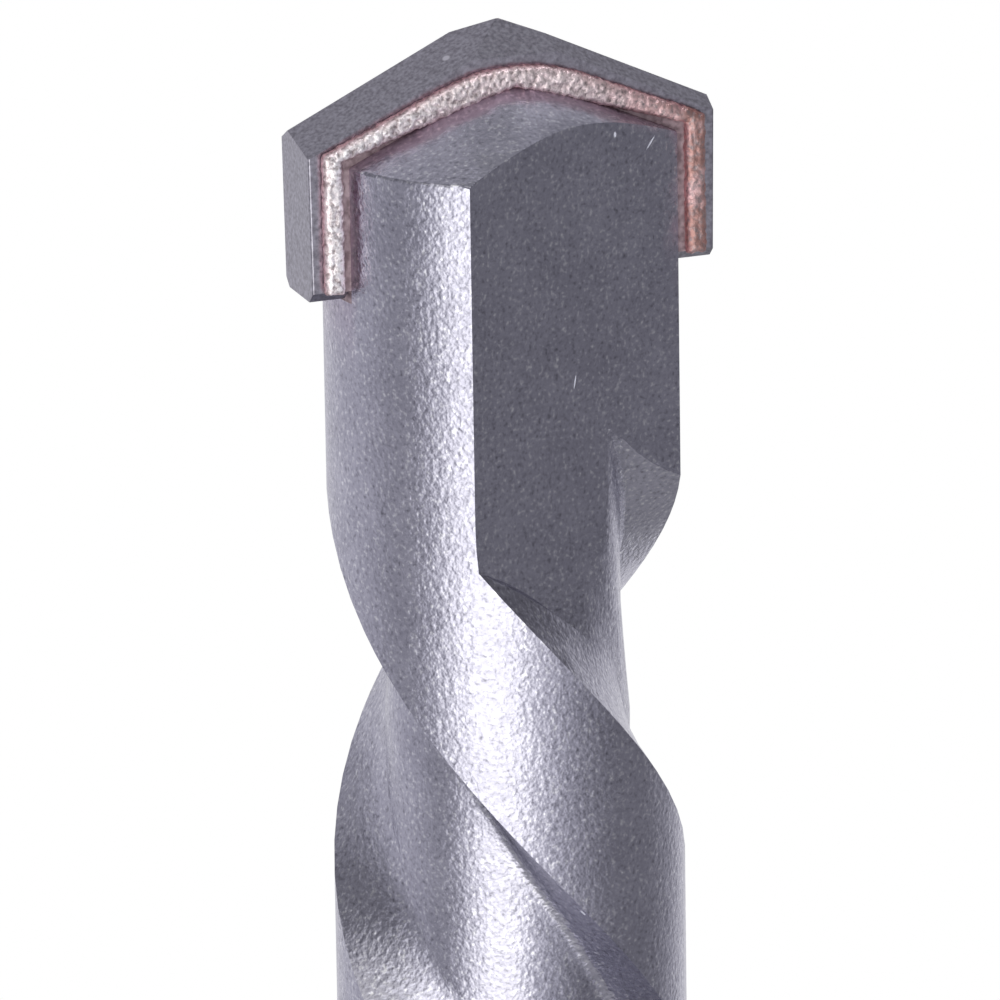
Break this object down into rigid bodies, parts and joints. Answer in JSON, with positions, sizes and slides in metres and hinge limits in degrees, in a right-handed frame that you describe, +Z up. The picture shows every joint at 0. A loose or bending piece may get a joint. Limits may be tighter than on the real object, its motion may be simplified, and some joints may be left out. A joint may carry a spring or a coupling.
{
  "type": "masonry drill bit",
  "caption": "Masonry drill bit: a steel bar with helical chip flutes, a plain shank and a wide carbide cutting plate brazed across its head.",
  "frame": {"origin": "centre of the shank's flat end", "axes": "+Z up the axis from the shank to the point; the carbide plate is wide along X and thin along Y; +Y is away from the flute seen in the picture"},
  "size_m": [0.016, 0.0132, 0.15],
  "materials": {
    "blasted_steel": "sandblasted, unpolished",
    "carbide": "ground and blasted sintered carbide",
    "braze": "granular as flowed, reddish where thin"
  },
  "bodies": {
    "root": {"steel_body": "blasted_steel", "carbide_tip": "carbide", "braze": "braze"}
  },
  "joints": []
}
